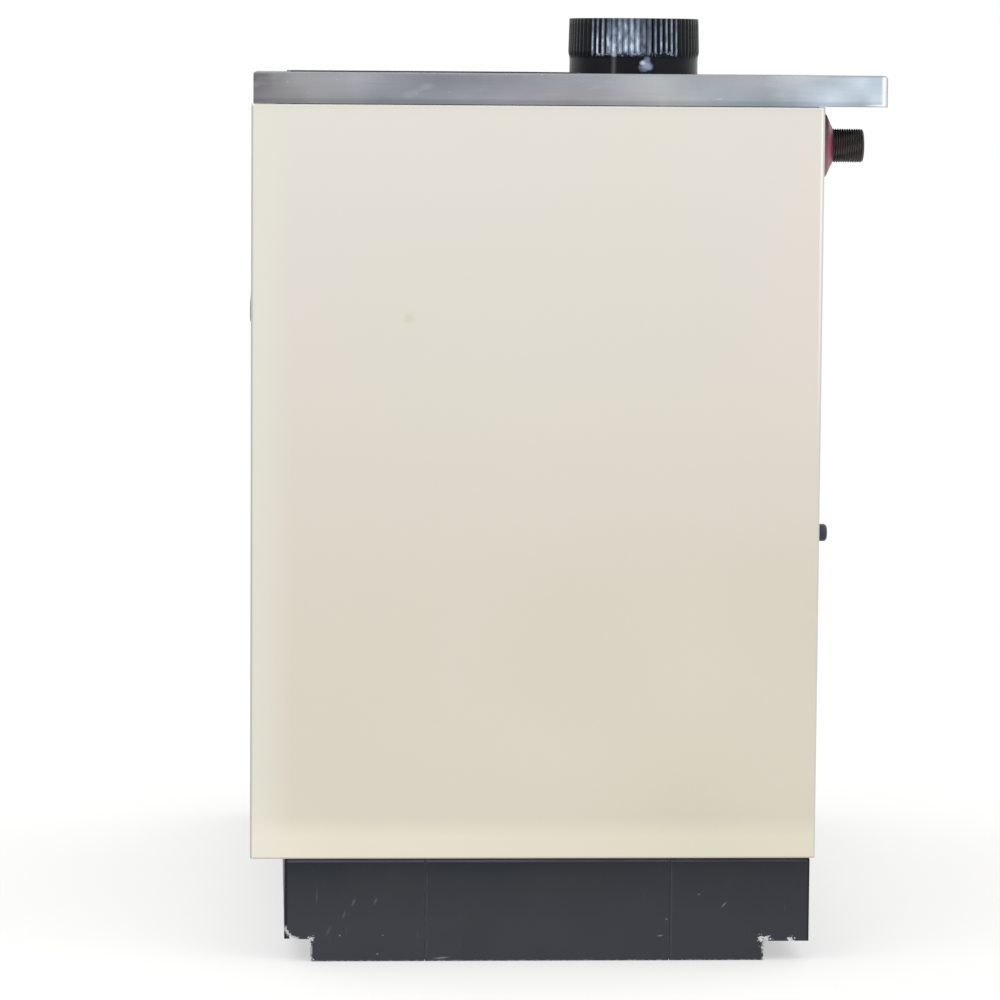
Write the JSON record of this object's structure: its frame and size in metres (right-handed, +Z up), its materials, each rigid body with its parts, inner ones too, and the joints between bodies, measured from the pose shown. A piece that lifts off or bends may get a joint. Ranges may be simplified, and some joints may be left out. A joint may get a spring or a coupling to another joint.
{
  "type": "central heating stove",
  "caption": "Solid-fuel central heating stove with cream enamelled panels, a stainless top frame, a crimped black flue collar, rear pipe stubs and a dark plinth.",
  "frame": {"origin": "on the floor, under the middle of the overall width and depth", "axes": "+Z up, -Y towards the doors, +X towards the right side panel"},
  "size_m": [0.9, 0.6, 0.9015],
  "materials": {
    "cream_enamel": "glossy",
    "anthracite_paint": "satin",
    "black_enamel": "glossy",
    "dark_casing": "matte",
    "stainless": "polished",
    "hob_iron": "satin",
    "boss_red": "satin",
    "pipe_steel": "satin",
    "rubber": "satin",
    "black_grip": "satin",
    "dial_white": "matte"
  },
  "bodies": {
    "root": {"side_panel_right": "cream_enamel", "side_panel_left": "cream_enamel", "back_panel": "cream_enamel", "base_tray": "dark_casing", "boiler_body": "dark_casing", "front_plate": "dark_casing", "control_strip": "cream_enamel", "fire_door": "cream_enamel", "ash_door": "cream_enamel", "oven_door": "cream_enamel", "drawer_front": "cream_enamel", "fire_door_grip": "black_grip", "ash_door_grip": "black_grip", "oven_door_grip": "black_grip", "drawer_grip": "black_grip", "grip_posts": "black_grip", "regulator_knob": "black_grip", "thermometer_rim": "stainless", "thermometer_dial": "dial_white", "damper_pull": "black_grip", "top_frame": "stainless", "hob_plate": "hob_iron", "hob_ring": "hob_iron", "hob_lid": "hob_iron", "flue_collar": "black_enamel", "flow_pipe": "pipe_steel", "flow_boss": "boss_red", "return_pipe": "pipe_steel", "return_boss": "boss_red", "wall_buffer_right": "rubber", "wall_buffer_left": "rubber", "plinth_front": "anthracite_paint", "plinth_back": "anthracite_paint", "plinth_right_front": "anthracite_paint", "plinth_right_middle": "anthracite_paint", "plinth_right_back": "anthracite_paint", "plinth_left_front": "anthracite_paint", "plinth_left_middle": "anthracite_paint", "plinth_left_back": "anthracite_paint"}
  },
  "joints": []
}
